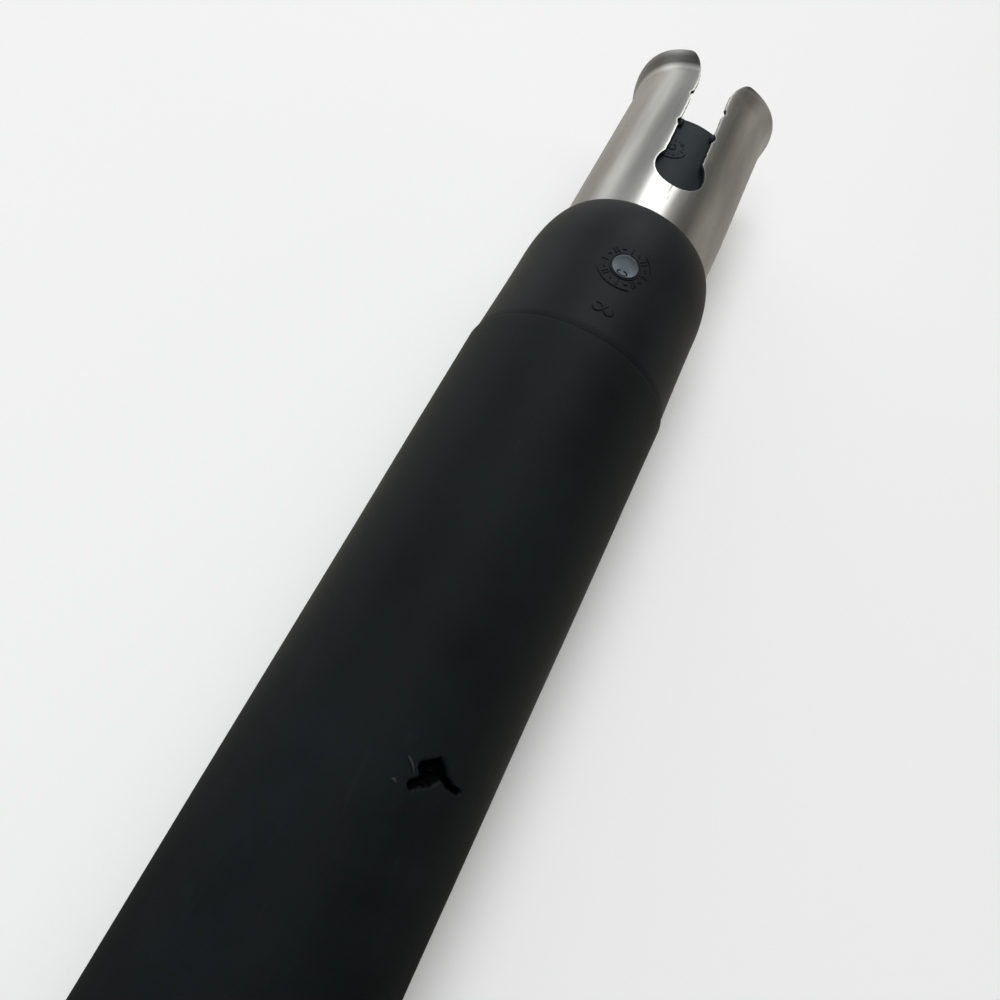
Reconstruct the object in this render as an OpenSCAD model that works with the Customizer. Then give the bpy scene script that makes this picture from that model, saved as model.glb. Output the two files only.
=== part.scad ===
// Golf ball retriever: a slotted steel jaw tube that telescopes out of a rubber-covered handle.
// The ball's centre, when it sits in the jaws, is the origin. +X points out of the mouth, +Z is up.
// Most parts are turned about the X axis, and places along it are measured from the collar's nose.

/* [Ball and mouth] */
// Diameter of a standard golf ball
ball_d = 42.67; // [42.67:0.01:42.8]
// How much smaller the mouth is than the ball
ball_grip = 0.07; // [0.03:0.01:0.1]
// Outside diameter of the jaw tube
tube_d = 45; // [45:0.1:45.2]
// Length of the longer jaw that shows ahead of the collar
jaw_len = 72; // [71:0.5:74]
// How much shorter the other jaw is
jaw_step = 4.5; // [2:0.1:5]
// Distance from the ball's centre to the lip of the longer jaw
lip_past_ball = 25; // [24.4:0.1:25.4]
// Length of the flared lip
flare_len = 10.8; // [9.8:0.1:11.4]
// How far the lip flares out, on the radius
flare_out = 2; // [1:0.1:2.2]

/* [Jaw slots] */
// Width of the slots between the jaws
slot_w = 11; // [9:0.5:12]
// Radius of the round relief at the foot of each slot
relief_r = 7.6; // [6.5:0.1:8]
// Distance from the collar's nose to the centre of the relief
relief_from_nose = 19.2; // [17:0.1:20]
// Radius of the longer jaw's corners beside the slot
long_corner_r = 6.5; // [3:0.5:7]
// Radius of the shorter jaw's corners beside the slot
short_corner_r = 4; // [2:0.5:5]
// Radius of the small nicks in the slots' edges
nick_r = 1.2; // [0.8:0.1:1.4]

/* [Ball seat] */
// Length of the moulded seat
seat_len = 32; // [30:1:34]
// Wire diameter of the seat spring
wire_d = 1.2; // [1:0.1:1.4]
// Turns of the seat spring
spring_turns = 9; // [7:1:10]

/* [Handle] */
// Length of the handle from the collar's nose to the back of its tube
handle_len = 505; // [480:5:560]
// Outside diameter of the handle's tube
handle_d = 50; // [50:0.1:50.2]
// Wall of the handle's tube
handle_wall = 1.2; // [1.2:0.05:1.3]
// Thickness of the rubber grip sleeve
grip_t = 3; // [2.5:0.1:3.5]
// Length of the twist-lock collar
collar_len = 46.9; // [46:0.1:48]

/* [End cap] */
// Thickness of the cap's flange
cap_t = 15; // [12:1:18]
// How far the flange stands out past the flats, on the radius
cap_proud = 2; // [1.5:0.1:3]
// Thickness of the hanging tab
tab_t = 7; // [6:0.5:9]
// Radius of the hanging hole
hang_r = 5; // [4:0.5:6]

/* [Hidden] */
$fn = 96;

// Clearances: a running fit, and the gap between faces that only pass each other
running = 0.1;
apart = 0.3;
cut = 1;
past_lip = 3;

// Radii
tube_r = tube_d / 2;
tube_wall = 1.5;
rivet_r = 1.6;
bulkhead_rivet_r = 1.8;
joint_rivet_r = 2;
guide_rivet_r = 1.5;
bore_r = tube_r - tube_wall;
mouth_r = (ball_d - ball_grip) / 2;
handle_r = handle_d / 2;
handle_bore_r = handle_r - handle_wall;
grip_r = handle_r + grip_t;
seat_r = bore_r - apart;
pass_r = tube_r + apart;

// Places along X. nose_x is the front of the collar, from which the rest is measured backwards.
rim_x = lip_past_ball;
flare_x = rim_x - flare_len;
nose_x = rim_x - jaw_len;
jaw_hidden_len = 100;
jaw_back_x = nose_x - jaw_hidden_len;
tube_front_x = nose_x - 43;
tube_back_x = nose_x - handle_len;
cap_back_x = tube_back_x - cap_t;
ferrule_rivet_x = nose_x - 50;
plug_rivet_x = tube_back_x + 10;

// The jaws' lips, as [end of the lip, radius of its curve seen from the side, corner radius]
lip_curve_r = 34;
long_lip = [rim_x, lip_curve_r, long_corner_r];
short_lip = [rim_x - jaw_step, lip_curve_r, short_corner_r];

// Ball seat: a cup a little larger than the ball, cut off at the rim
cup_r = ball_d / 2 + 0.25;
cup_rim_r = seat_r - 1.2;
seat_x = -sqrt(cup_r * cup_r - cup_rim_r * cup_rim_r);
seat_back_x = seat_x - seat_len;
lug_w = 1;
lug_len = 2.4;
lug_y = slot_w / 2 - apart - lug_w;
spring_pocket_r = 10.5;
spring_pocket_x = seat_back_x + 12;
coil_r = 8.5;
stem_r = 3;
stem_front_x = spring_pocket_x + 5.3;

// Bulkhead that the seat's stem runs through
bulkhead_t = 6;
bulkhead_front_x = nose_x - 34;
bulkhead_back_x = bulkhead_front_x - bulkhead_t;
bulkhead_rivet_x = bulkhead_back_x + bulkhead_t / 2;
washer_t = 0.8;
clip_t = 0.9;
washer_x = bulkhead_back_x - apart - washer_t;
clip_x = washer_x - 0.1 - clip_t;

// Twist lock
ferrule_front_x = nose_x - 14;
ferrule_back_x = nose_x - 60;
ferrule_r = handle_r - 0.1;
groove_x = nose_x - 32;
groove_w = 2;
collet_front_x = nose_x - 4.6;
collet_slits = 8;
collar_front_x = nose_x - 0.2;
collar_back_x = nose_x - collar_len;
collar_r = tube_r * 1.19;
collar_back_r = tube_r * 1.222;
wiper_back_x = nose_x - 3.8;
wiper_w = 2.2;
wiper_r = tube_r + 0.8;

// Back of the telescoping tube
pad_t = 4;
plug_len = 20;
plug_front_x = tube_back_x + plug_len;
stopper_back_x = plug_front_x + pad_t + 0.4;
stopper_flange_t = 2.6;
ext_back_x = stopper_back_x + stopper_flange_t;
guide_rivet_x = ext_back_x + 23;
joint_rivet_offset = 20;
guide_len = 30;
guide_r = handle_bore_r - running;
sleeve_half = 35;

// Hanging tab
tab_r = 11;
hang_x = cap_back_x - 13;
screw_z = 17;

// Turned shapes along X
module rod(x1, x2, r) translate([x1, 0, 0]) rotate([0, 90, 0]) cylinder(h = x2 - x1, r = r);

module cone(x1, x2, r1, r2) translate([x1, 0, 0]) rotate([0, 90, 0]) cylinder(h = x2 - x1, r1 = r1, r2 = r2);

module pipe(x1, x2, outer, inner) difference() {
    rod(x1, x2, outer);
    rod(x1 - cut, x2 + cut, inner);
}

// A profile drawn as points [x, radius], turned about X
module turned(points) rotate([0, 90, 0]) rotate_extrude() polygon([for (p = points) [p[1], p[0]]]);

// Pins that point outwards, at equal angles round the X axis
module radial_pins(x, r, from, to, count, first = 0)
    for (i = [0 : count - 1])
        rotate([first + i * 360 / count, 0, 0]) translate([x, 0, from]) cylinder(h = to - from, r = r);

// A flat-ended slit through one side of a ring, at an angle round the X axis
module slit(x1, x2, w, angle, reach)
    rotate([angle, 0, 0]) translate([x1, -w / 2, 0]) cube([x2 - x1, w, reach]);

// ---- handle ----

module handle_tube() color("silver") difference() {
    pipe(tube_back_x, tube_front_x, handle_r, handle_bore_r);
    radial_pins(ferrule_rivet_x, rivet_r, handle_bore_r - cut, handle_r + cut, 3, 30);
    radial_pins(plug_rivet_x, rivet_r, handle_bore_r - cut, handle_r + cut, 3, 30);
}

module grip_sleeve() color([0.07, 0.07, 0.075]) turned([
    [tube_back_x, handle_r], [tube_back_x, grip_r - 0.5], [tube_back_x + 0.5, grip_r],
    [collar_back_x - 1.1, grip_r], [collar_back_x - 0.4, grip_r - 0.4], [collar_back_x - 0.4, handle_r]]);

module threaded_ferrule() color([0.16, 0.16, 0.17]) difference() {
    union() {
        rod(tube_front_x, ferrule_front_x, ferrule_r);
        rod(ferrule_back_x, tube_front_x + cut, handle_bore_r);
    }
    rod(ferrule_back_x - cut, ferrule_front_x + cut, pass_r);
    pipe(groove_x, groove_x + groove_w, ferrule_r + cut, ferrule_r - 0.7);
    radial_pins(ferrule_rivet_x, rivet_r, pass_r - cut, handle_r + cut, 3, 30);
}

module ferrule_rivets() color("gainsboro")
    radial_pins(ferrule_rivet_x, rivet_r, pass_r + 0.1, handle_r - 0.1, 3, 30);

module collet() color("ivory") difference() {
    cone(ferrule_front_x + 0.3, collet_front_x, ferrule_r - 0.3, ferrule_r - 1.5);
    rod(ferrule_front_x - cut, collet_front_x + cut, tube_r + running * 0.8);
    slit(ferrule_front_x - cut, collet_front_x + cut, 1.6, 180, ferrule_r + cut);
    for (i = [0 : collet_slits - 1])
        slit(ferrule_front_x + 3.5, collet_front_x + cut, 1, 22.5 + i * 360 / collet_slits, ferrule_r + cut);
}

module collar_retainer() color("silver") difference() {
    pipe(groove_x + 0.2, groove_x + groove_w - 0.2, ferrule_r + 0.7, ferrule_r - 0.65);
    slit(groove_x - cut, groove_x + groove_w + cut, 7, 180, handle_r + 2);
}

module rear_plug() color([0.16, 0.16, 0.17]) difference() {
    rod(tube_back_x, plug_front_x, handle_bore_r);
    radial_pins(plug_rivet_x, rivet_r, 16, handle_r + cut, 3, 30);
    for (side = [-1, 1])
        translate([0, 0, side * screw_z]) rod(tube_back_x - cut, tube_back_x + 14, 1.7);
}

module plug_rivets() color("gainsboro") radial_pins(plug_rivet_x, rivet_r, 16, handle_r - 0.1, 3, 30);

module buffer_pad() color([0.2, 0.2, 0.2]) pipe(plug_front_x, plug_front_x + pad_t, handle_bore_r - 1, 6);

// The flats let the round handle lie still on a table
module end_cap() color([0.1, 0.1, 0.105]) difference() {
    union() {
        intersection() {
            turned([[cap_back_x, 0], [cap_back_x, grip_r - 3], [cap_back_x + 1.5, grip_r - 0.6],
                [cap_back_x + 4, grip_r + cap_proud], [tube_back_x - 2, grip_r + cap_proud],
                [tube_back_x, grip_r + cap_proud - 2], [tube_back_x, 0]]);
            translate([cap_back_x, -grip_r - cut - cap_proud, -grip_r])
                cube([cap_t, 2 * (grip_r + cut + cap_proud), 2 * grip_r]);
        }
        rotate([90, 0, 0]) translate([0, 0, -tab_t / 2]) linear_extrude(tab_t) {
            translate([hang_x, 0]) circle(tab_r);
            translate([hang_x, -tab_r]) square([cap_back_x - hang_x + cut, 2 * tab_r]);
        }
    }
    rotate([90, 0, 0]) translate([hang_x, 0, -tab_t]) cylinder(h = 2 * tab_t, r = hang_r);
    for (side = [-1, 1]) translate([0, 0, side * screw_z]) {
        rod(cap_back_x - cut, tube_back_x + cut, 1.9);
        cone(cap_back_x, cap_back_x + 2, 3.7, 1.9);
    }
}

module cap_screws() color("silver") for (side = [-1, 1]) translate([0, 0, side * screw_z]) difference() {
    union() {
        rod(cap_back_x + 1, tube_back_x + 12, 1.7);
        cone(cap_back_x + 0.1, cap_back_x + 2, 3.5, 1.7);
    }
    translate([cap_back_x - cut, -0.5, -2.4]) cube([cut + 1, 1, 4.8]);
    translate([cap_back_x - cut, -2.4, -0.5]) cube([cut + 1, 4.8, 1]);
}

// ---- twist-lock collar ----

// Outside of the collar: a rounded nose that runs into a slow taper
nose_r = tube_r + 0.6;
nose_run = 17;
collar_outline = concat(
    [for (a = [0 : 9 : 90])
        [collar_front_x - nose_run * (1 - cos(a)), nose_r + (collar_r - nose_r) * pow(sin(a), 1.3)]],
    [[nose_x - 36, collar_r * 1.015], [collar_back_x + 0.6, collar_back_r],
        [collar_back_x, collar_back_r - 0.5]]);

module lock_collar() color([0.09, 0.09, 0.095]) difference() {
    turned(concat([[collar_front_x, 0]], collar_outline, [[collar_back_x, 0]]));
    rod(collar_back_x - cut, collar_front_x + cut, pass_r);
    rod(wiper_back_x, wiper_back_x + wiper_w, wiper_r + 0.1);
    cone(ferrule_front_x + 0.2, collet_front_x + 0.4, ferrule_r + 0.1, ferrule_r - 1.15);
    rod(collar_back_x - cut, ferrule_front_x + 0.21, ferrule_r + running);
    rod(collar_back_x - cut, tube_front_x + 0.4, handle_r + apart);
    pipe(groove_x - 0.2, groove_x + groove_w + 0.2, ferrule_r + 1, ferrule_r);
}

module wiper_ring() color([0.05, 0.05, 0.05])
    pipe(wiper_back_x + 0.05, wiper_back_x + wiper_w - 0.05, wiper_r, tube_r + running);

// ---- telescoping jaw tube ----

// Place of a lip's curve at a distance y from the plane through the slots
function lip_at(lip, y) = lip[0] - lip[1] + sqrt(lip[1] * lip[1] - tube_r * tube_r + y * y);

// Plan of one slot: parallel sides, a round relief, nicks, and rounded corners at the lip
module slot_plan() {
    translate([nose_x + relief_from_nose, 0]) circle(relief_r);
    translate([nose_x + relief_from_nose, -slot_w / 2])
        square([rim_x + past_lip - nose_x - relief_from_nose, slot_w]);
    for (side = [-1, 1]) {
        for (x = [seat_x - 2, 0]) translate([x, side * slot_w / 2]) circle(nick_r);
        lip = side > 0 ? long_lip : short_lip;
        corner_r = lip[2];
        corner_y = slot_w / 2 + corner_r;
        corner_x = lip_at(lip, corner_y) + 0.3 - corner_r;
        difference() {
            translate([corner_x, side * (corner_y - corner_r / 2) - corner_r / 2])
                square([rim_x + past_lip - corner_x, corner_r]);
            translate([corner_x, side * corner_y]) circle(corner_r);
        }
    }
}

// What is cut away ahead of each jaw's curved lip
module lip_cut(lip, side)
    rotate([90, 0, 0]) translate([0, 0, side > 0 ? -tube_d : 0]) linear_extrude(tube_d) difference() {
        translate([lip_at(lip, 0) - cut, -tube_d]) square([tube_d, 2 * tube_d]);
        translate([lip[0] - lip[1], 0]) circle(lip[1], $fn = 180);
    }

// Radius that the flare adds at a share t of its length; it is turned a little too long and cut to shape
function flare(t) = flare_out * pow(t, 1.5);

module jaw_tube() color([0.78, 0.77, 0.75]) difference() {
    turned(concat(
        [[jaw_back_x, bore_r], [jaw_back_x, tube_r]],
        [for (t = [0 : 0.125 : 1.125]) [flare_x + flare_len * t, tube_r + flare(t)]],
        [for (t = [1.125 : -0.125 : 0]) [flare_x + flare_len * t, mouth_r + flare(t)]],
        [[seat_x + apart, mouth_r], [seat_x + apart, bore_r]]));
    translate([0, 0, -tube_d]) linear_extrude(2 * tube_d) slot_plan();
    lip_cut(long_lip, 1);
    lip_cut(short_lip, -1);
    radial_pins(bulkhead_rivet_x, bulkhead_rivet_r, bore_r - cut, tube_r + cut, 3, 90);
    radial_pins(jaw_back_x + joint_rivet_offset, joint_rivet_r, bore_r - cut, tube_r + cut, 4, 45);
}

module joint_sleeve() color("silver") difference() {
    pipe(jaw_back_x - sleeve_half, jaw_back_x + sleeve_half, bore_r, bore_r - 2);
    for (side = [-1, 1])
        radial_pins(jaw_back_x + side * joint_rivet_offset, joint_rivet_r, bore_r - 4, bore_r + cut, 4, 45);
}

module joint_rivets() color("gainsboro")
    for (side = [-1, 1])
        radial_pins(jaw_back_x + side * joint_rivet_offset, joint_rivet_r, bore_r - 2, tube_r - 0.15, 4, 45);

module extension_tube() color([0.72, 0.73, 0.75]) difference() {
    pipe(ext_back_x, jaw_back_x, tube_r, bore_r);
    radial_pins(jaw_back_x - joint_rivet_offset, joint_rivet_r, bore_r - cut, tube_r + cut, 4, 45);
    radial_pins(guide_rivet_x, guide_rivet_r, bore_r - cut, tube_r + cut, 3, 90);
}

module rear_guide() color("ivory") difference() {
    pipe(ext_back_x, ext_back_x + guide_len, guide_r, tube_r);
    radial_pins(guide_rivet_x, guide_rivet_r, tube_r - cut, guide_r + cut, 3, 90);
}

module guide_rivets() color("gainsboro")
    radial_pins(guide_rivet_x, guide_rivet_r, bore_r + 0.05, guide_r - 0.1, 3, 90);

module rear_stopper() color([0.16, 0.16, 0.17]) {
    rod(stopper_back_x, ext_back_x, tube_r);
    pipe(ext_back_x, ext_back_x + 16, bore_r, bore_r - 3);
}

module spring_bulkhead() color([0.16, 0.16, 0.17]) difference() {
    rod(bulkhead_back_x, bulkhead_front_x, bore_r);
    rod(bulkhead_back_x - cut, bulkhead_front_x + cut, stem_r + running);
    radial_pins(bulkhead_rivet_x, bulkhead_rivet_r, 17, bore_r + cut, 3, 90);
}

module bulkhead_rivets() color("gainsboro")
    radial_pins(bulkhead_rivet_x, bulkhead_rivet_r, 17, tube_r - 0.12, 3, 90);

// ---- sprung ball seat ----

// Small lugs at the rim run in the jaw slots and keep the seat from turning
module seat_lugs() intersection() {
    rod(seat_x - 0.8 - lug_len, seat_x - 0.8, tube_r - 0.4);
    for (a = [0, 180], side = [0, 1]) rotate([a, 0, 0]) mirror([0, side, 0])
        translate([seat_x - cut - lug_len, lug_y, seat_r - 3]) cube([lug_len + cut, lug_w, 6]);
}

module ball_seat() color([0.17, 0.19, 0.2]) difference() {
    union() {
        turned([[seat_back_x, 0], [seat_back_x, seat_r - 1], [seat_back_x + 1, seat_r],
            [seat_x - 0.6, seat_r], [seat_x, seat_r - 0.6], [seat_x, 0]]);
        seat_lugs();
    }
    sphere(cup_r);
    rod(seat_back_x - cut, spring_pocket_x, spring_pocket_r);
    rod(spring_pocket_x - cut, stem_front_x, stem_r);
}

module seat_stem() color("silver") difference() {
    rod(clip_x - 8, stem_front_x, stem_r);
    pipe(clip_x - 0.05, clip_x + clip_t + 0.05, stem_r + cut, stem_r - 0.4);
}

module stem_washer() color("silver") pipe(washer_x, washer_x + washer_t, 8, stem_r + 0.05);

module stem_clip() color("dimgray") difference() {
    pipe(clip_x, clip_x + clip_t, 6.5, stem_r - 0.35);
    slit(clip_x - cut, clip_x + clip_t + cut, 4.4, 180, 8);
}

// The spring is one round wire swept along a helix
ring_sides = 8;
rings_a_turn = 20;
ring_count = spring_turns * rings_a_turn;
spring_back_x = bulkhead_front_x + wire_d / 2 + 0.1;
spring_front_x = spring_pocket_x - wire_d / 2 - 0.1;

function wire_point(i, j) = let(
        turn = 360 * i / rings_a_turn,
        r = coil_r + wire_d / 2 * cos(360 * j / ring_sides),
        x = spring_back_x + (spring_front_x - spring_back_x) * i / ring_count)
    [x + wire_d / 2 * sin(360 * j / ring_sides), r * cos(turn), r * sin(turn)];

module seat_spring() color("gainsboro") polyhedron(
    points = [for (i = [0 : ring_count]) for (j = [0 : ring_sides - 1]) wire_point(i, j)],
    faces = concat(
        [[for (j = [0 : ring_sides - 1]) j]],
        [for (i = [0 : ring_count - 1]) for (j = [0 : ring_sides - 1]) let(
                a = i * ring_sides + j, b = i * ring_sides + (j + 1) % ring_sides)
            [a, a + ring_sides, b + ring_sides, b]],
        [[for (j = [ring_sides - 1 : -1 : 0]) ring_count * ring_sides + j]]));

handle_tube();
grip_sleeve();
threaded_ferrule();
ferrule_rivets();
collet();
collar_retainer();
rear_plug();
plug_rivets();
buffer_pad();
end_cap();
cap_screws();
lock_collar();
wiper_ring();
jaw_tube();
joint_sleeve();
joint_rivets();
extension_tube();
rear_guide();
guide_rivets();
rear_stopper();
spring_bulkhead();
bulkhead_rivets();
ball_seat();
seat_stem();
stem_washer();
stem_clip();
seat_spring();
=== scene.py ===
"""Golf ball retriever: the looks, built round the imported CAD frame.

+X points out of the ball mouth, +Z is up, and the tube's axis is the X axis. Lengths written
in millimetres are turned into metres by mm().
"""
import math

import bmesh
import bpy
from mathutils import Matrix, Vector, noise


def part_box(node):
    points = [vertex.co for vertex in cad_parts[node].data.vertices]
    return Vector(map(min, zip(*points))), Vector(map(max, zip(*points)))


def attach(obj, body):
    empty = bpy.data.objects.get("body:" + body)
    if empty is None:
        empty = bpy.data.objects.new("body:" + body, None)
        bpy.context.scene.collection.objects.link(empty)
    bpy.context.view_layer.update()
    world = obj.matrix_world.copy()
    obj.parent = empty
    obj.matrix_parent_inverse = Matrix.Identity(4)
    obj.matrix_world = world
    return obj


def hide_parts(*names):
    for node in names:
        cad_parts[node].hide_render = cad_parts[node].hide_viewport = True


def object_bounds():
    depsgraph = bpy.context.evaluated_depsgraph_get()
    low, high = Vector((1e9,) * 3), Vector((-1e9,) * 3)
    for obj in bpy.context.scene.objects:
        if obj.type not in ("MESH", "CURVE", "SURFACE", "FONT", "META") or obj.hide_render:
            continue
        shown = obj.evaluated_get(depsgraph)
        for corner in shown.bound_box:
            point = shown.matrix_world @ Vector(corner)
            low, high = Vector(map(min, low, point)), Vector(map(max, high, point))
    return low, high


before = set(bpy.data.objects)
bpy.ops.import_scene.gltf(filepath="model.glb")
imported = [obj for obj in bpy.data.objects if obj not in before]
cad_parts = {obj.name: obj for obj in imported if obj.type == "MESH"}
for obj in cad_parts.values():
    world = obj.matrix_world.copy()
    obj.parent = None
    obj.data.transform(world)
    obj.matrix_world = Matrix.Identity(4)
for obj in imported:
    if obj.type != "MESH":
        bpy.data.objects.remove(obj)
cad_low, cad_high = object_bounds()

MM = 0.001


def mm(value):
    return value * MM


# ---- sizes, from the frame ----

TUBE_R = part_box("extension_tube")[1][1]
GRIP_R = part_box("grip_sleeve")[1][1]
GRIP_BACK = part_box("grip_sleeve")[0][0]
GRIP_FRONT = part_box("grip_sleeve")[1][0]
COLLAR_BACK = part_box("lock_collar")[0][0]
COLLAR_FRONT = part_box("lock_collar")[1][0]
NOSE = COLLAR_FRONT + mm(0.2)
JAW_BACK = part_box("jaw_tube")[0][0]
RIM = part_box("jaw_tube")[1][0]
SEAT_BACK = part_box("ball_seat")[0][0]
SEAT_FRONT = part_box("ball_seat")[1][0]
SEAT_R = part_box("ball_seat")[1][1]
FLOOR_Z = cad_low[2]

WALL = mm(1.0)
SLOT_HALF = mm(5.7)
RELIEF_R = mm(7.4)
RELIEF_X = NOSE + mm(19.2)
RELIEF_OFF = mm(1.0)
NICK_DEPTH = mm(0.75)
NICK_HALF = mm(1.6)
LIP_RUN = mm(15)
# The two jaws by side: -1 is on +Y and 1 on -Y. tip is the end of the lip and curve its radius seen
# from the side; corner is the length and width of the rounding beside the slot; nicks are the places
# of the small cuts in the slot's edge; widen is how much the slot's edge leans out along the jaw;
# flare is how far the lip turns out and band how much wider the turned out part is at the jaw's
# side; bend is how far the jaw's tip stands towards +Y.
LONG_JAW = {"tip": RIM - mm(1.7), "curve": mm(34), "corner": (mm(11), mm(5.6)),
            "nicks": (SEAT_FRONT - mm(2), mm(0.8)), "widen": 0.035,
            "flare": mm(2.3), "band": mm(4.4), "bend": 0.0}
SHORT_JAW = {"tip": RIM - mm(3.3), "curve": mm(34), "corner": (mm(9), mm(3.8)),
             "nicks": (SEAT_FRONT - mm(2.4), mm(-0.6)), "widen": -0.028,
             "flare": mm(1.1), "band": mm(4.0), "bend": mm(1.7)}
JAWS = {-1: LONG_JAW, 1: SHORT_JAW}


# ---- node materials ----

class Nodes:
    """A material's node tree with short calls for the nodes that this script uses."""

    def __init__(self, name):
        self.material = bpy.data.materials.new(name)
        self.material.use_nodes = True
        self.tree = self.material.node_tree
        self.shader = self.tree.nodes["Principled BSDF"]
        self.place = self.tree.nodes.new("ShaderNodeTexCoord").outputs["Object"]

    def link(self, source, target):
        self.tree.links.new(source, target)

    def stretch(self, scale, source):
        """A place, scaled differently along X, Y and Z."""
        node = self.tree.nodes.new("ShaderNodeMapping")
        node.inputs["Scale"].default_value = scale
        self.link(source, node.inputs["Vector"])
        return node.outputs["Vector"]

    def round_place(self, radius):
        """X, and the way round the X axis in metres, for grain that follows a tube."""
        parts = self.tree.nodes.new("ShaderNodeSeparateXYZ")
        self.link(self.place, parts.inputs[0])
        angle = self.math("ARCTAN2", parts.outputs["Y"], parts.outputs["Z"])
        joined = self.tree.nodes.new("ShaderNodeCombineXYZ")
        self.link(parts.outputs["X"], joined.inputs["X"])
        self.link(self.math("MULTIPLY", angle, radius), joined.inputs["Y"])
        return joined.outputs[0]

    def from_axis(self):
        """Distance from the X axis."""
        parts = self.tree.nodes.new("ShaderNodeSeparateXYZ")
        self.link(self.place, parts.inputs[0])
        squares = [self.math("MULTIPLY", parts.outputs[k], parts.outputs[k]) for k in ("Y", "Z")]
        return self.math("POWER", self.math("ADD", *squares), 0.5)

    def noise(self, scale, detail=4.0, roughness=0.6, place=None, distortion=0.0):
        node = self.tree.nodes.new("ShaderNodeTexNoise")
        node.inputs["Scale"].default_value = scale
        node.inputs["Detail"].default_value = detail
        node.inputs["Roughness"].default_value = roughness
        node.inputs["Distortion"].default_value = distortion
        self.link(place or self.place, node.inputs["Vector"])
        return node.outputs["Fac"]

    def cells(self, scale, place=None):
        """Distance from the middle of the nearest cell."""
        node = self.tree.nodes.new("ShaderNodeTexVoronoi")
        node.inputs["Scale"].default_value = scale
        self.link(place or self.place, node.inputs["Vector"])
        return node.outputs["Distance"]

    def span(self, source, low, high, to_low, to_high):
        """source between low and high becomes to_low to to_high, and stops there."""
        node = self.tree.nodes.new("ShaderNodeMapRange")
        limits = {"From Min": low, "From Max": high, "To Min": to_low, "To Max": to_high}
        for name, value in limits.items():
            node.inputs[name].default_value = value
        self.link(source, node.inputs["Value"])
        return node.outputs["Result"]

    def math(self, operation, a, b):
        node = self.tree.nodes.new("ShaderNodeMath")
        node.operation = operation
        for value, socket in ((a, node.inputs[0]), (b, node.inputs[1])):
            if isinstance(value, (int, float)):
                socket.default_value = value
            else:
                self.link(value, socket)
        return node.outputs[0]

    def blend(self, share, low, high):
        """A colour between two, each a colour or a socket."""
        node = self.tree.nodes.new("ShaderNodeMix")
        node.data_type = "RGBA"
        self.link(share, node.inputs["Factor"])
        for value, socket in ((low, node.inputs[6]), (high, node.inputs[7])):
            if isinstance(value, tuple):
                socket.default_value = (*value, 1.0)
            else:
                self.link(value, socket)
        return node.outputs[2]

    def bump(self, heights):
        """Joins (height socket, strength, depth in metres) layers into the shader's normal."""
        normal = None
        for height, strength, depth in heights:
            node = self.tree.nodes.new("ShaderNodeBump")
            node.inputs["Strength"].default_value = strength
            node.inputs["Distance"].default_value = depth
            self.link(height, node.inputs["Height"])
            if normal:
                self.link(normal, node.inputs["Normal"])
            normal = node.outputs["Normal"]
        self.link(normal, self.shader.inputs["Normal"])

    def set(self, **values):
        """Constant shader values, by socket name with spaces as underscores."""
        for name, value in values.items():
            self.shader.inputs[name.replace("_", " ")].default_value = value

    def colour(self, source):
        self.link(source, self.shader.inputs["Base Color"])

    def roughness(self, source):
        self.link(source, self.shader.inputs["Roughness"])


def rubber(name, dark, light, rough, grain, lint, skin=0.0):
    """Black rubber or moulded black plastic: fine grain, slow mottling, scuffs and a little lint.

    Below the radius skin, where the rubber is torn open, it is rough, and painted shade makes it almost
    black, darker than the rubber itself.
    """
    n = Nodes(name)
    mottle = n.noise(38, 5, 0.62)
    fine = n.noise(grain, 3, 0.7)
    place = n.round_place(GRIP_R)
    scuffs = n.noise(210, 3, 0.6, n.stretch((0.22, 1.0, 1.0), place), 0.6)
    scuff = n.span(scuffs, 0.66, 0.78, 0.0, 1.0)
    shade = n.blend(n.span(mottle, 0.32, 0.68, 0.0, 1.0), dark, light)
    # The scuffs' lighter colour here is real wear.
    wear_and_painted_shade = tuple(c * 1.8 + 0.002 for c in light)
    shade = n.blend(n.math("MULTIPLY", scuff, 0.35), shade, wear_and_painted_shade)
    specks = n.span(n.cells(lint, place), 0.0, 0.05, 1.0, 0.0)
    few = n.span(n.noise(60, 2, 0.5, place), 0.6, 0.66, 0.0, 1.0)
    speck = n.math("MULTIPLY", specks, few)
    shade = n.blend(n.math("MULTIPLY", speck, 0.55), shade, (0.11, 0.11, 0.105))
    gloss = n.span(mottle, 0.3, 0.7, rough - 0.05, rough + 0.05)
    gloss = n.math("ADD", gloss, n.math("MULTIPLY", fine, 0.08))
    if skin:
        # Painted shade: the tear is coloured almost black, darker than the rubber, and it is also made
        # rough.
        tear_and_painted_shade = n.span(n.from_axis(), skin - mm(0.9), skin - mm(0.25), 1.0, 0.0)
        shade = n.blend(tear_and_painted_shade, shade, (0.0002, 0.0002, 0.0002))
        gloss = n.math("MAXIMUM", gloss, tear_and_painted_shade)
    n.colour(shade)
    n.roughness(gloss)
    n.set(Specular_IOR_Level=0.13, IOR=1.5)
    n.bump([(mottle, 0.25, mm(0.25)), (fine, 0.35, mm(0.05)), (n.cells(grain * 0.7), 0.2, mm(0.03))])
    return n.material


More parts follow.
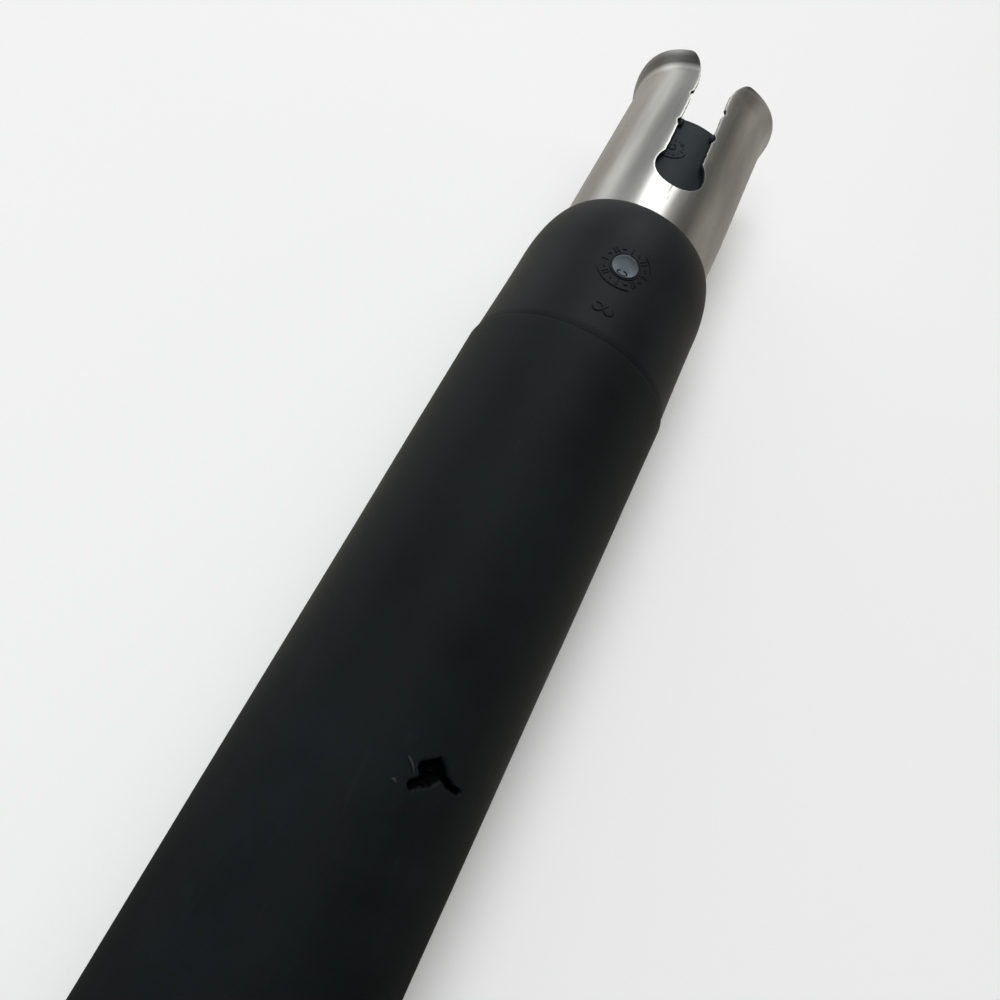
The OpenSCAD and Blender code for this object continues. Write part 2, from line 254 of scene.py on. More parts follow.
def brushed_steel(name, base=(0.42, 0.415, 0.40), rough=0.22, lip=False):
    """Satin tube with drawn lines along it and small scratches.

    With lip, a painted highlight makes it bright where a jaw's lip begins to turn out, and painted shade
    darkens the lip beyond that, as if it reflected a dim room, a little less at the lip's outer edge.
    """
    n = Nodes(name)
    place = n.round_place(TUBE_R)
    drawn = n.noise(420, 3, 0.6, n.stretch((0.06, 1.0, 1.0), place))
    wide = n.noise(70, 3, 0.5, n.stretch((0.25, 1.0, 1.0), place))
    satin = n.noise(5200, 2, 0.6, place)
    scratches = n.noise(300, 2, 0.5, n.stretch((0.35, 1.4, 1.0), place), 1.6)
    scratch = n.span(scratches, 0.70, 0.735, 0.0, 1.0)
    dull = tuple(c * 0.72 for c in base)
    bright = tuple(min(1.0, c * 1.14) for c in base)
    shade = n.blend(n.span(wide, 0.35, 0.65, 0.0, 1.0), dull, bright)
    shade = n.blend(n.math("MULTIPLY", scratch, 0.5), shade, (0.18, 0.17, 0.16))
    if lip:
        reach = n.from_axis()
        # Painted highlight: a bright band of colour where the lip starts to turn out.
        painted_highlight = n.span(reach, TUBE_R + mm(0.02), TUBE_R + mm(0.2), 0.0, 0.55)
        shade = n.blend(painted_highlight, shade, (0.62, 0.62, 0.60))
        # Painted shade: the turned-out lip is darkened in its colour, less so towards its outer edge (rim).
        wear_and_painted_shade = n.span(reach, TUBE_R + mm(0.25), TUBE_R + mm(0.75), 0.0, 1.0)
        rim = n.span(reach, TUBE_R + mm(1.5), TUBE_R + mm(2.2), 1.0, 0.62)
        shade = n.blend(n.math("MULTIPLY", wear_and_painted_shade, rim), shade, (0.10, 0.10, 0.096))
    n.colour(shade)
    satin_rough = n.span(drawn, 0.3, 0.7, rough - 0.05, rough + 0.06)
    n.roughness(n.math("ADD", satin_rough, n.math("MULTIPLY", scratch, 0.15)))
    n.set(Metallic=1.0)
    n.bump([(drawn, 0.16, mm(0.02)), (satin, 0.12, mm(0.006)), (scratch, -0.25, mm(0.02))])
    return n.material


def polished(name, base, rough):
    """Smooth metal with a little grime."""
    n = Nodes(name)
    grime = n.noise(160, 4, 0.6)
    fine = n.noise(2600, 2, 0.6)
    n.colour(n.blend(n.span(grime, 0.35, 0.7, 0.0, 1.0), base, tuple(c * 0.7 for c in base)))
    n.roughness(n.span(grime, 0.3, 0.7, rough - 0.05, rough + 0.1))
    n.set(Metallic=1.0)
    n.bump([(fine, 0.1, mm(0.01)), (grime, 0.15, mm(0.04))])
    return n.material


def moulded(name, base, rough):
    """Plain moulded plastic with a faint texture."""
    n = Nodes(name)
    cloud = n.noise(120, 4, 0.6)
    fine = n.noise(3000, 2, 0.6)
    n.colour(n.blend(n.span(cloud, 0.3, 0.7, 0.0, 1.0), tuple(c * 0.85 for c in base), base))
    n.roughness(n.span(fine, 0.3, 0.7, rough - 0.06, rough + 0.06))
    n.bump([(fine, 0.2, mm(0.02)), (cloud, 0.15, mm(0.06))])
    return n.material


GRIP = rubber("grip_rubber", (0.0036, 0.0048, 0.0056), (0.0068, 0.0088, 0.0100), 0.5, 2600, 420, GRIP_R)
COLLAR = rubber("collar_plastic", (0.0050, 0.0060, 0.0074), (0.0088, 0.0102, 0.0124), 0.42, 3400, 500)
CAP = rubber("cap_rubber", (0.0042, 0.0046, 0.0050), (0.0078, 0.0084, 0.0090), 0.5, 2400, 380)
SEAT = rubber("seat_plastic", (0.0085, 0.0120, 0.0140), (0.0135, 0.0185, 0.0215), 0.42, 3600, 520)
FLAKE = rubber("lifted_rubber", (0.016, 0.018, 0.019), (0.03, 0.032, 0.034), 0.6, 2200, 600)
STEEL = brushed_steel("brushed_stainless", lip=True)
INSERT = polished("polished_insert", (0.050, 0.058, 0.065), 0.28)
ALUMINIUM = brushed_steel("satin_aluminium", (0.66, 0.67, 0.69), 0.34)
RIVET = polished("rivet_aluminium", (0.72, 0.72, 0.73), 0.35)
SPRING = polished("spring_steel", (0.55, 0.55, 0.56), 0.25)
INNER = moulded("inner_moulding", (0.035, 0.036, 0.039), 0.5)
NYLON = moulded("natural_nylon", (0.70, 0.67, 0.58), 0.42)
SOFT = moulded("soft_rubber", (0.02, 0.02, 0.021), 0.7)

CAD_MATERIALS = {
    "handle_tube": ALUMINIUM, "threaded_ferrule": INNER, "ferrule_rivets": RIVET, "collet": NYLON,
    "collar_retainer": SPRING, "rear_plug": INNER, "plug_rivets": RIVET, "buffer_pad": SOFT,
    "end_cap": CAP, "cap_screws": SPRING, "wiper_ring": SOFT, "joint_sleeve": ALUMINIUM,
    "joint_rivets": RIVET, "extension_tube": ALUMINIUM, "rear_guide": NYLON, "guide_rivets": RIVET,
    "rear_stopper": INNER, "spring_bulkhead": INNER, "bulkhead_rivets": RIVET, "seat_stem": SPRING,
    "stem_washer": SPRING, "stem_clip": SPRING, "seat_spring": SPRING,
}


# ---- mesh helpers ----

def add_piece(name, points, faces, material, body, stands_for=(), sharp=60):
    """A smooth-shaded mesh that rides on a body; sharp is the angle above which an edge stays crisp."""
    mesh = bpy.data.meshes.new(name)
    mesh.from_pydata(points, [], faces)
    mesh.validate()
    mesh.shade_smooth()
    mesh.set_sharp_from_angle(angle=math.radians(sharp))
    piece = bpy.data.objects.new(name, mesh)
    bpy.context.scene.collection.objects.link(piece)
    mesh.materials.append(material)
    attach(piece, body)
    if stands_for:
        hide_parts(*stands_for)
    return piece


def round_x(x, radius, angle):
    """The point at a radius and an angle round the X axis: 0 is up, positive turns towards -Y."""
    return (x, -radius * math.sin(angle), radius * math.cos(angle))


def grid_faces(rows, columns, wrap_rows=False):
    """Quads over a grid of points stored row by row, closed round each row."""
    faces = []
    for i in range(rows if wrap_rows else rows - 1):
        for j in range(columns):
            k = (j + 1) % columns
            m = (i + 1) % rows
            faces.append((i * columns + j, i * columns + k, m * columns + k, m * columns + j))
    return faces


def lathe(name, profile, material, body, stands_for, columns, sharp):
    """A closed profile of (x, r) turned once round the X axis."""
    points = [round_x(x, r, 2 * math.pi * j / columns) for x, r in profile for j in range(columns)]
    faces = grid_faces(len(profile), columns, wrap_rows=True)
    return add_piece(name, points, faces, material, body, stands_for, sharp)


# ---- jaw tube ----

def soft_ramp(t):
    """0 to 1 with a level start and end."""
    t = max(0.0, min(1.0, t))
    return t * t * (3 - 2 * t)


def slot_half(side, x):
    """Half width of the slot on one side, with the unevenness of a rough cut."""
    lean = JAWS[side]["widen"] * (x - (NOSE + TUBE_R * 1.6))
    coarse = noise.noise(Vector((x / mm(1.1), side * 7.3, 0.5)))
    fine = noise.noise(Vector((x / mm(0.45), side * 3.1, 2.5)))
    return SLOT_HALF + lean + mm(0.13) * (coarse + 0.6 * fine)


def lip_at(side, angle):
    """Place of the lip's edge at an angle round the tube."""
    tip, curve = JAWS[side]["tip"], JAWS[side]["curve"]
    return tip - curve + math.sqrt(curve ** 2 - (TUBE_R * math.cos(angle)) ** 2)


def slot_outline(side):
    """Pairs of (x, distance of the edge from the middle plane) along a jaw, from the relief to the lip."""
    off = side * RELIEF_OFF
    neck_half = slot_half(side, RELIEF_X + mm(5)) - off
    neck_x = RELIEF_X + math.sqrt(RELIEF_R ** 2 - neck_half ** 2)
    outline = []
    neck = math.pi / 2 + math.asin((neck_x - RELIEF_X) / RELIEF_R)
    for k in range(31):
        turn = neck * k / 30
        outline.append((RELIEF_X - RELIEF_R * math.cos(turn), RELIEF_R * math.sin(turn) + off))
    corner_long, corner_wide = JAWS[side]["corner"]
    rim = lip_at(side, math.asin((SLOT_HALF + corner_wide) / TUBE_R))
    nicks = JAWS[side]["nicks"]
    x = neck_x + mm(0.5)
    while x < rim - corner_long:
        half = slot_half(side, x)
        for nick_x in nicks:
            share = (x - nick_x) / NICK_HALF
            if -1 < share < 1:
                half += NICK_DEPTH * (1 - share * share) ** 1.1 * (0.85 + 0.4 * share)
        outline.append((x, half))
        x += mm(0.28)
    for k in range(41):
        turn = math.pi / 2 * k / 40
        x = rim - corner_long * (1 - math.sin(turn))
        straight = slot_half(side, x) * (1 - k / 40) + SLOT_HALF * k / 40
        outline.append((x, straight + corner_wide * (1 - math.cos(turn))))
    return outline


def flare_at(side, x, angle):
    """How far the lip stands out: it turns outwards quickly, in a band that is wider at the jaw's side."""
    band = mm(5) + JAWS[side]["band"] * math.sin(angle) ** 2
    behind = x - lip_at(side, angle) + band
    ahead = 0.5 * (behind + math.sqrt(behind ** 2 + mm(0.4) ** 2))
    return JAWS[side]["flare"] * min(1.1, ahead / band) ** 1.5


def bend_at(side, x):
    """How far a jaw leans towards +Y."""
    share = max(0.0, (x - RELIEF_X) / (RIM - RELIEF_X))
    return JAWS[side]["bend"] * share ** 1.15


def jaw_tube():
    """Both jaws as one sheet whose grid follows the slots' edges, then given its wall thickness."""
    columns = 96
    bm = bmesh.new()
    for side in JAWS:
        outline = slot_outline(side)
        back = [JAW_BACK + (outline[0][0] - JAW_BACK) * k / 12 for k in range(12)]
        rows = [(x, outline[0][1]) for x in back] + outline
        rim = outline[-1][0]
        rim_edge = lip_at(side, math.asin(outline[-1][1] / TUBE_R))
        grid = []
        for x, half in rows:
            edge = math.asin(half / TUBE_R)
            line = []
            for j in range(columns + 1):
                angle = side * (edge + (math.pi - 2 * edge) * j / columns)
                lean = (lip_at(side, angle) - rim_edge) * soft_ramp((x - rim + LIP_RUN) / LIP_RUN)
                radius = TUBE_R + flare_at(side, x + lean, angle)
                place = Vector(round_x(x + lean, radius, angle))
                place.y += bend_at(side, x)
                line.append(bm.verts.new(place))
            grid.append(line)
        for i in range(len(grid) - 1):
            for j in range(columns):
                corners = (grid[i][j], grid[i][j + 1], grid[i + 1][j + 1], grid[i + 1][j])
                bm.faces.new(corners if side > 0 else corners[::-1])
    bmesh.ops.remove_doubles(bm, verts=bm.verts, dist=mm(0.005))
    bmesh.ops.recalc_face_normals(bm, faces=bm.faces)
    mesh = bpy.data.meshes.new("jaw_tube_sheet")
    bm.to_mesh(mesh)
    bm.free()
    points = [tuple(v.co) for v in mesh.vertices]
    faces = [tuple(p.vertices) for p in mesh.polygons]
    bpy.data.meshes.remove(mesh)
    piece = add_piece("jaws", points, faces, STEEL, "extension", ("jaw_tube",), sharp=50)
    solid = piece.modifiers.new("wall", "SOLIDIFY")
    solid.thickness = WALL
    solid.offset = -1.0
    edge = piece.modifiers.new("edge", "BEVEL")
    edge.width = mm(0.14)
    edge.segments = 3
    edge.limit_method = "ANGLE"
    edge.angle_limit = math.radians(50)
    return piece


# ---- collar ----

def collar_radius(x):
    """Outside of the collar: a rounded nose that runs into a slow taper."""
    nose_r, full_r, back_r = TUBE_R + mm(0.6), TUBE_R * 1.19, TUBE_R * 1.222
    run = mm(17)
    behind = COLLAR_FRONT - x
    if behind < run:
        turn = math.acos(max(-1.0, min(1.0, 1 - behind / run)))
        return nose_r + (full_r - nose_r) * math.sin(turn) ** 1.3
    share = (behind - run) / (COLLAR_FRONT - run - COLLAR_BACK)
    return full_r + (back_r - full_r) * share ** 1.4


def collar():
    """The collar's outside and its bore, with a step inside for the ferrule."""
    outer = [COLLAR_FRONT - (COLLAR_FRONT - COLLAR_BACK) * (k / 60) ** 1.5 for k in range(1, 60)]
    profile = [(COLLAR_BACK, TUBE_R + mm(2.8)), (COLLAR_BACK, collar_radius(COLLAR_BACK) - mm(0.35))]
    profile += [(x, collar_radius(x)) for x in reversed(outer)]
    profile += [(COLLAR_FRONT, TUBE_R + mm(0.5)), (COLLAR_FRONT - mm(0.1), TUBE_R + mm(0.3)),
                (COLLAR_FRONT - mm(1.6), TUBE_R + mm(0.3)), (COLLAR_BACK + mm(20), TUBE_R + mm(0.6)),
                (COLLAR_BACK + mm(20), TUBE_R + mm(2.8))]
    return lathe("twist_collar", profile, COLLAR, "lock_collar",
                 ("lock_collar",), columns=256, sharp=45)


# ---- grip sleeve ----

GOUGE_X = NOSE - TUBE_R * 6.68
CREASE_X = NOSE - TUBE_R * 3.25
GOUGE_ANGLE = math.radians(28.5)
# The torn place as strokes: start and end, each (along, round) the sleeve in mm, and half width in mm
GOUGE_STROKES = [((-3.4, -4.1), (-1.6, -2.0), 1.0), ((0.4, -3.5), (2.1, -0.7), 1.2),
                 ((-1.6, -2.0), (0.9, 0.8), 1.5), ((2.1, -0.7), (0.9, 0.8), 1.3),
                 ((0.4, -3.5), (-1.6, -2.0), 1.2), ((0.9, 0.8), (-0.4, 3.7), 0.85),
                 ((-0.4, 3.7), (-0.5, 6.4), 0.65)]
# The curls of rubber beside it: start, end and height
GOUGE_CURLS = [((0.6, -7.2), (-2.0, -4.5), 0.6), ((-4.2, -8.2), (-4.7, -6.9), 0.25)]
GOUGE_DEPTH = mm(2.4)
CREASE_DEPTH = mm(0.07)
CREASE_HALF = mm(0.5)


def stroke_depth(along, around):
    """How deep the tear is at a place given in mm from its centre, from 0 to 1."""
    here = Vector((along, around))
    deepest = -1.0
    for start, end, half in GOUGE_STROKES:
        a, b = Vector(start), Vector(end)
        t = max(0.0, min(1.0, (here - a).dot(b - a) / (b - a).length_squared))
        deepest = max(deepest, 1.0 - (here - a.lerp(b, t)).length / half)
    ragged = 0.35 * noise.noise(Vector((along * 1.3, around * 1.3, 4.0)))
    return max(0.0, min(1.0, (deepest + ragged) * 1.7)) if deepest > -0.4 else 0.0


def sleeve():
    """The grip sleeve, with a finer grid round the torn place."""
    xs = [GRIP_BACK + mm(0.6) + (GRIP_FRONT - GRIP_BACK - mm(1.2)) * k / 130 for k in range(131)]
    xs = [x for x in xs if abs(x - GOUGE_X) > mm(9)] + [GOUGE_X + mm(k * 0.3) for k in range(-29, 30)]
    xs.sort()
    angles = [math.radians(a * 2.5) for a in range(144)]
    angles = [a for a in angles if abs(a - GOUGE_ANGLE) > math.radians(20)]
    angles += [GOUGE_ANGLE + math.radians(k * 0.6) for k in range(-32, 33)]
    angles.sort()
    inner = GRIP_R - mm(3)
    rows = [(GRIP_BACK, inner), (GRIP_BACK, GRIP_R - mm(0.5)), (GRIP_BACK + mm(0.15), GRIP_R - mm(0.15))]
    rows += [(x, GRIP_R) for x in xs]
    rows += [(GRIP_FRONT - mm(0.3), GRIP_R - mm(0.05)), (GRIP_FRONT, GRIP_R - mm(0.4)), (GRIP_FRONT, inner)]
    points = []
    for x, radius in rows:
        for angle in angles:
            r = radius
            if radius == GRIP_R:
                around = (angle - GOUGE_ANGLE) * GRIP_R / MM
                depth = stroke_depth((x - GOUGE_X) / MM, around)
                r -= GOUGE_DEPTH * depth
                r -= CREASE_DEPTH * math.exp(-(((x - CREASE_X) / CREASE_HALF) ** 2))
                r += mm(0.06) * noise.noise(Vector((x * 30, math.cos(angle) * 2, math.sin(angle) * 2)))
            points.append(round_x(x, r, angle))
    faces = grid_faces(len(rows), len(angles), wrap_rows=True)
    return add_piece("grip", points, faces, GRIP, "handle", ("grip_sleeve",), sharp=50)


def flakes():
    """Thin curls of rubber that stand up beside the torn place."""
    points, faces = [], []
    for start, end, height in GOUGE_CURLS:
        first = len(points)
        for i in range(9):
            t = i / 8
            along, around = (mm(a + (b - a) * t) for a, b in zip(start, end))
            along += mm(0.35) * math.sin(t * 3)
            thick = mm(0.30) * math.sin(math.pi * (0.12 + 0.8 * t))
            for j in range(8):
                turn = 2 * math.pi * j / 8
                r = GRIP_R + mm(height) * math.sin(math.pi * t) * 0.6 + thick * 0.5 * math.sin(turn)
                x = GOUGE_X + along + thick * math.cos(turn)
                points.append(round_x(x, r, GOUGE_ANGLE + around / GRIP_R))
        for face in grid_faces(9, 8):
            faces.append(tuple(v + first for v in face))
        faces.append(tuple(first + 64 + j for j in range(8)))
        faces.append(tuple(first + j for j in reversed(range(8))))
    return add_piece("grip_flakes", points, faces, FLAKE, "handle")


# ---- ball seat ----

def seat():
    """The seat: a hollow for the ball in front, a plain outside, and a socket for the stem behind."""
    cup = mm(21.6)
    lip = SEAT_R - mm(1.2)
    profile = []
    for k in range(22):
        turn = math.asin(lip / cup) * k / 21
        profile.append((-cup * math.cos(turn), max(mm(0.02), cup * math.sin(turn))))
    front = SEAT_FRONT + mm(1.4)
    profile += [(front, SEAT_R - mm(0.7)), (front - mm(0.12), SEAT_R - mm(0.3)), (front - mm(0.5), SEAT_R)]
    side_front, side_back = front - mm(0.5), SEAT_BACK + mm(1)
    profile += [(side_front + (side_back - side_front) * k / 8, SEAT_R) for k in range(1, 9)]
    profile += [(SEAT_BACK + mm(0.3), SEAT_R - mm(0.3)), (SEAT_BACK, SEAT_R - mm(1)), (SEAT_BACK, mm(10.5)),
                (SEAT_BACK + mm(12), mm(10.5)), (SEAT_BACK + mm(12), mm(0.02))]
    return lathe("seat_cup", profile, SEAT, "ball_seat",
                 ("ball_seat",), columns=160, sharp=40)


def rounded(share):
    """Turns a circle's sine or cosine into that of a square with round corners."""
    return math.copysign(abs(share) ** 0.6, share)


def seat_lugs():
    """Four small rounded lugs that stand in the slots at the seat's rim."""
    points, faces = [], []
    columns, rows = 16, 9
    for turned, side in ((0, -1), (0, 1), (1, -1), (1, 1)):
        first = len(points)
        for i in range(rows):
            height = mm(19.3) + mm(2.1) * i / (rows - 1)
            shrink = 1.0 if i < rows - 3 else (0.94, 0.8, 0.5)[i - rows + 3]
            for j in range(columns):
                turn = 2 * math.pi * j / columns
                along = rounded(math.cos(turn)) * mm(1.45) * shrink
                across = rounded(math.sin(turn)) * mm(0.75) * shrink
                y, z = side * mm(5.0) + across, height
                points.append((SEAT_FRONT - mm(1.2) + along, y, -z if turned else z))
        for a, b, c, d in grid_faces(rows, columns):
            faces.append((a + first, b + first, c + first, d + first))
        faces.append(tuple(first + (rows - 1) * columns + j for j in range(columns)))
        faces.append(tuple(first + j for j in reversed(range(columns))))
    return add_piece("seat_lugs", points, faces, SEAT, "ball_seat")


# ---- round moulded marks ----

def tube_along(path, radius):
    """Points and faces of a small round bead along a path of points, closed at both ends."""
    sides = 8
    rings, faces = [], []
    for i, here in enumerate(path):
        ahead = path[min(i + 1, len(path) - 1)] - path[max(i - 1, 0)]
        out = Vector((0, here.y, here.z)).normalized()
        across = ahead.normalized().cross(out).normalized()
        taper = 0.55 if i in (0, len(path) - 1) else 1.0
        for k in range(sides):
            turn = 2 * math.pi * k / sides
            rings.append(here + (across * math.cos(turn) + out * math.sin(turn)) * radius * taper)
    for i in range(len(path) - 1):
        for k in range(sides):
            m = (k + 1) % sides
            faces.append((i * sides + k, i * sides + m, (i + 1) * sides + m, (i + 1) * sides + k))
    faces.append(tuple(reversed(range(sides))))
    faces.append(tuple(range((len(path) - 1) * sides, len(path) * sides)))
    return rings, faces


def bead(name, strokes, surface, centre_x, centre_angle, radius, material, body):
    """Raised beads on a round surface. A stroke lists (along, around) places in metres from the centre."""
    points, faces = [], []
    for stroke in strokes:
        path = []
        for along, around in stroke:
            r = surface(centre_x + along)
            path.append(Vector(round_x(centre_x + along, r, centre_angle + around / r)))
        ring, ring_faces = tube_along(path, radius)
        faces += [tuple(v + len(points) for v in f) for f in ring_faces]
        points += [tuple(p) for p in ring]
    return add_piece(name, points, faces, material, body)


def arc(radius, start, end, steps):
    """Places on an arc, angles in degrees from the way out of the mouth."""
    turns = [math.radians(start + (end - start) * k / steps) for k in range(steps + 1)]
    return [(radius * math.cos(t), radius * math.sin(t)) for t in turns]


def hour_marks(radius, count, size):
    """Short marks round a plain dial: single bars, blobs, pairs of bars and cross bars in turn."""
    shapes = (
        ([(-1.0, 0.0), (1.0, 0.0)],),
        ([(-0.35, 0.3), (0.35, -0.3)],),
        ([(-0.9, -0.45), (0.9, -0.45)], [(-0.9, 0.45), (0.9, 0.45)]),
        ([(0.0, -0.6), (0.0, 0.6)],),
    )
    strokes = []
    for k in range(count):
        t = math.radians(360 * k / count)
        out = Vector((math.cos(t), math.sin(t)))
        across = Vector((-out.y, out.x))
        for line in shapes[k % len(shapes)]:
            strokes.append([tuple(out * (radius + size * u) + across * size * v) for u, v in line])
    return strokes


def disc_on(name, surface, centre_x, centre_angle, radius, material, body, lift):
    """A shallow dished disc with a rounded rim that follows the surface, raised by lift."""
    # Places across the disc as a share of its radius, and the height there in mm
    heights = [(0.02, -0.12), (0.3, -0.12), (0.55, -0.11), (0.72, -0.07), (0.84, -0.02), (0.93, 0.02),
               (0.98, 0.0), (1.0, -0.08), (1.02, -0.4)]
    columns = 64
    points = []
    for share, height in heights:
        for j in range(columns):
            turn = 2 * math.pi * j / columns
            along, around = radius * share * math.cos(turn), radius * share * math.sin(turn)
            r = surface(centre_x + along)
            points.append(round_x(centre_x + along, r + mm(height) + lift, centre_angle + around / r))
    faces = grid_faces(len(heights), columns)
    faces.append(tuple(reversed(range(columns))))
    return add_piece(name, points, faces, material, body)


def collar_mark():
    """A plain dial: a dished insert with a small oval in it, marks round it, and arcs outside them.

    Two small open rings stand behind it.
    """
    x = NOSE - TUBE_R * 1.08
    disc_on("dial_insert", collar_radius, x, 0.0, mm(3.6), INSERT, "lock_collar", mm(0.24))
    turns = [k * 0.39 for k in range(16)]
    oval = [[(mm(-2.4) + mm(0.75) * math.cos(turn), mm(1.3) * math.sin(turn)) for turn in turns]]
    bead("dial_crescent", oval, collar_radius, x, 0.0, mm(0.3), COLLAR, "lock_collar")
    marks = hour_marks(mm(5.4), 16, mm(0.95))
    bead("dial_marks", marks, collar_radius, x, 0.0, mm(0.42), COLLAR, "lock_collar")
    rings = [arc(mm(7.0), 150, 245, 20), arc(mm(7.0), 30, 95, 14), arc(mm(3.9), 0, 352, 40)]
    bead("dial_ring", rings, collar_radius, x, 0.0, mm(0.26), COLLAR, "lock_collar")
    for side in (-1, 1):
        ring = [arc(mm(1.25), 40 * side, 40 * side + 300, 16)]
        ring_x, ring_angle = NOSE - TUBE_R * 1.735, side * mm(1.45) / (TUBE_R * 1.2)
        bead(f"dial_dot_{side + 2}", ring, collar_radius, ring_x, ring_angle, mm(0.25), COLLAR,
             "lock_collar")


def seat_radius(_):
    """Outside of the seat, the same at every place along it."""
    return SEAT_R


def seat_mark():
    """A smaller plain dial on the side of the seat."""
    x = NOSE + TUBE_R * 1.2
    angle = math.radians(-11)
    marks = hour_marks(mm(3.0), 14, mm(0.6))
    bead("seat_marks", marks, seat_radius, x, angle, mm(0.3), SEAT, "ball_seat")
    rings = [arc(mm(4.3), 100, 330, 30), arc(mm(1.0), 0, 340, 14)]
    bead("seat_ring", rings, seat_radius, x, angle, mm(0.26), SEAT, "ball_seat")


# ---- finishes on CAD pieces ----

def finish_cad():
    """Gives the CAD pieces that nothing replaces their materials, and some of them softer edges."""
    for node, material in CAD_MATERIALS.items():
        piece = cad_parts[node]
        piece.data.materials.clear()
        piece.data.materials.append(material)
    soft_edges = {"end_cap": 0.9, "extension_tube": 0.15, "rear_guide": 0.3, "cap_screws": 0.12}
    for node, width in soft_edges.items():
        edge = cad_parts[node].modifiers.new("edge", "BEVEL")
        edge.width = mm(width)
        edge.segments = 3
        edge.limit_method = "ANGLE"
        edge.angle_limit = math.radians(40)


# ---- camera, lights and floor ----

CAMERA_PLACE = (NOSE - 7.217 * TUBE_R, 0.0, 8.108 * TUBE_R)
CAMERA_RIGHT = (0.4287, -0.8850, 0.1818)
CAMERA_FORWARD = (0.3952, 0.0028, -0.9186)


def camera():
    """Above the handle, looking along it towards the mouth."""
    data = bpy.data.cameras.new("camera")
    data.sensor_width = 36.0
    data.lens = 28.8
    data.clip_start = 0.01
    camera = bpy.data.objects.new("camera", data)
    bpy.context.scene.collection.objects.link(camera)
    right = Vector(CAMERA_RIGHT).normalized()
    back = -Vector(CAMERA_FORWARD).normalized()
    up = back.cross(right).normalized()
    right = up.cross(back)
    turn = Matrix((right, up, back)).transposed().to_4x4()
    camera.matrix_world = Matrix.Translation(CAMERA_PLACE) @ turn
    bpy.context.scene.camera = camera


def softbox(name, place, aim, size, power, mirrored=True):
    """A rectangular area light aimed at a place. Unless mirrored, it doesn't show in reflections."""
    data = bpy.data.lights.new(name, "AREA")
    data.shape = "RECTANGLE"
    data.size, data.size_y = size
    data.energy = power
    data.color = (0.98, 0.99, 1.0)
    light = bpy.data.objects.new(name, data)
    bpy.context.scene.collection.objects.link(light)
    light.location = place
    light.rotation_euler = (Vector(aim) - Vector(place)).to_track_quat("-Z", "Y").to_euler()
    light.visible_glossy = mirrored


# Brightness of the room by degrees round the X axis: -90 is at +Y, 0 is up and 90 is at -Y
PANELS = [(-180, 0.42), (-100, 0.6), (-88, 1.35), (-76, 1.35), (-65, 0.6), (-45, 0.45), (-32, 0.7),
          (-20, 1.15), (-6, 1.2), (8, 1.0), (20, 0.75), (32, 0.35), (42, 0.13), (58, 0.19), (72, 0.4),
          (84, 0.52), (100, 0.48), (180, 0.38)]
# Brightness by how far forwards a ray points: dark behind the handle, with a bright edge to the dark
FADE = [(-1.0, 0.14), (-0.3, 0.14), (0.0, 0.16), (0.1, 0.5), (0.19, 1.0), (0.28, 0.75), (0.4, 0.66),
        (1.0, 0.66)]
BACKDROP = (0.36, 0.36, 0.357, 1.0)
ROOM_STRENGTH = 2.5


def panel_colour(degrees, value):
    """A panel's colour: cool overhead and warmer at the -Y side and underneath."""
    warm = 1.0 if degrees < -99 else min(1.0, max(0.0, degrees / 60))
    return (value * 0.6, value * (0.608 - 0.03 * warm), value * (0.604 - 0.085 * warm), 1.0)


def ramp_along(nodes, links, source, low, high, stops):
    """A smooth colour ramp over a socket's values from low to high. A stop is (value, colour)."""
    share = nodes.new("ShaderNodeMapRange")
    limits = {"From Min": low, "From Max": high, "To Min": 0.0, "To Max": 1.0}
    for name, value in limits.items():
        share.inputs[name].default_value = value
    links.new(source, share.inputs["Value"])
    node = nodes.new("ShaderNodeValToRGB")
    ramp = node.color_ramp
    ramp.interpolation = "B_SPLINE"
    while len(ramp.elements) < len(stops):
        ramp.elements.new(0.5)
    for element, (value, colour) in zip(ramp.elements, stops):
        element.position = (value - stops[0][0]) / (stops[-1][0] - stops[0][0])
        element.color = colour
    links.new(share.outputs["Result"], node.inputs[0])
    return node.outputs[0]


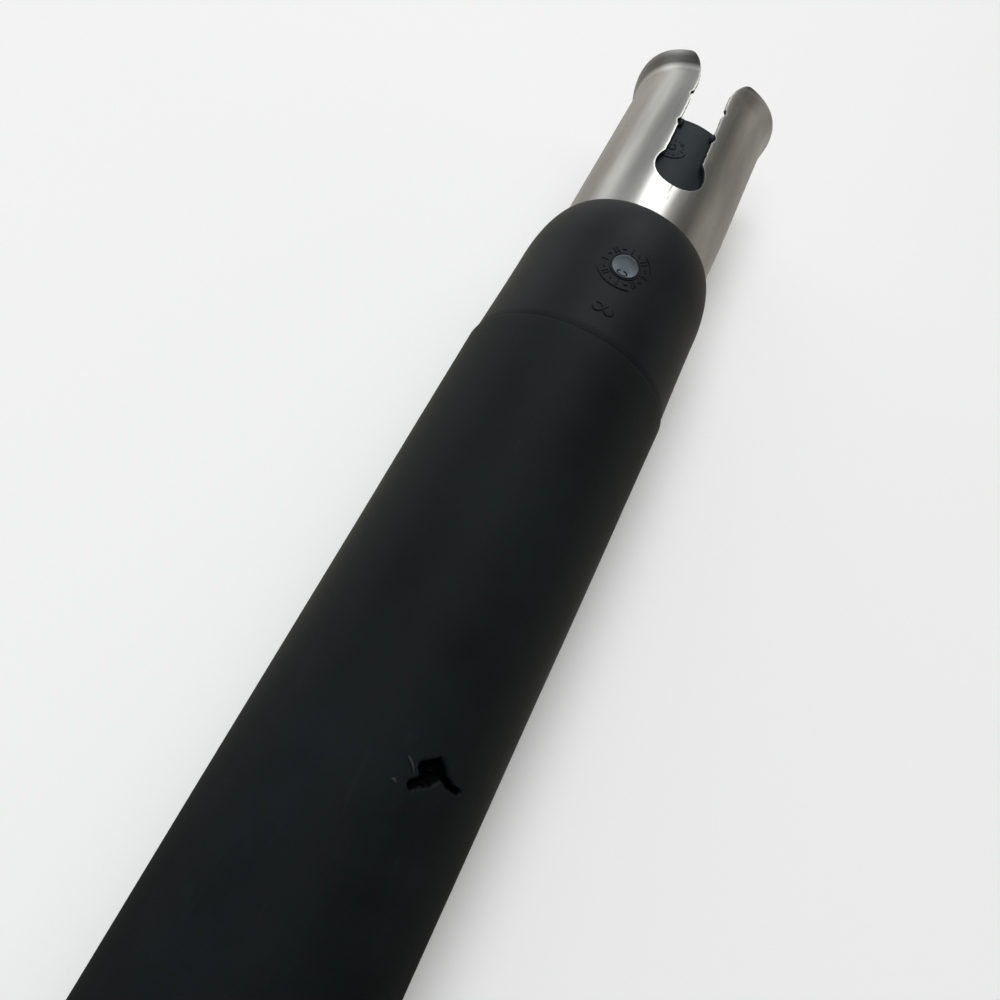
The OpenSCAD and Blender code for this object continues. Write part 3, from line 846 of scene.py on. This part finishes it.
def studio():
    """A pale backdrop and floor, a room of bright and dim panels, and two softboxes.

    The panels light the object and show in its reflections, and the camera sees the backdrop.
    """
    bpy.context.scene.view_settings.view_transform = "Standard"
    world = bpy.data.worlds.new("studio")
    world.use_nodes = True
    tree = world.node_tree
    nodes, links = tree.nodes, tree.links
    parts = nodes.new("ShaderNodeSeparateXYZ")
    links.new(nodes.new("ShaderNodeTexCoord").outputs["Generated"], parts.inputs[0])
    turn = nodes.new("ShaderNodeMath")
    turn.operation = "ARCTAN2"
    links.new(parts.outputs["Y"], turn.inputs[0])
    links.new(parts.outputs["Z"], turn.inputs[1])
    panels = [(degrees, panel_colour(degrees, value)) for degrees, value in PANELS]
    round_tube = ramp_along(nodes, links, turn.outputs[0], math.pi, -math.pi, panels)
    fade = [(forward, (value, value, value, 1.0)) for forward, value in FADE]
    forwards = ramp_along(nodes, links, parts.outputs["X"], -1.0, 1.0, fade)
    room = nodes.new("ShaderNodeVectorMath")
    room.operation = "MULTIPLY"
    links.new(round_tube, room.inputs[0])
    links.new(forwards, room.inputs[1])
    mix = nodes.new("ShaderNodeMix")
    mix.data_type = "RGBA"
    links.new(nodes.new("ShaderNodeLightPath").outputs["Is Camera Ray"], mix.inputs["Factor"])
    links.new(room.outputs["Vector"], mix.inputs[6])
    mix.inputs[7].default_value = BACKDROP
    links.new(mix.outputs[2], nodes["Background"].inputs["Color"])
    nodes["Background"].inputs["Strength"].default_value = ROOM_STRENGTH
    bpy.context.scene.world = world
    softbox("front", (0.88, 0.09, 0.78), (-0.02, 0, 0.02), (0.60, 0.34), 1.9)
    softbox("overhead", (-0.3, 0.35, 1.6), (-0.2, 0, 0), (1.2, 1.0), 16.0, False)
    lay_floor()


def lay_floor():
    """A plain pale floor, left out of reflections, so that the room's panels show in them instead."""
    n = Nodes("floor")
    n.colour(n.blend(n.noise(3, 2, 0.5), (0.88, 0.88, 0.875), (0.91, 0.91, 0.905)))
    n.set(Roughness=0.7)
    mesh = bpy.data.meshes.new("floor")
    reach = 6.0
    corners = [(x * reach, y * reach, FLOOR_Z) for x, y in ((-1, -1), (1, -1), (1, 1), (-1, 1))]
    mesh.from_pydata(corners, [], [(0, 1, 2, 3)])
    mesh.materials.append(n.material)
    floor = bpy.data.objects.new("floor", mesh)
    bpy.context.scene.collection.objects.link(floor)
    floor.visible_glossy = False


camera()
studio()
finish_cad()
jaw_tube()
collar()
sleeve()
flakes()
seat()
seat_lugs()
collar_mark()
seat_mark()
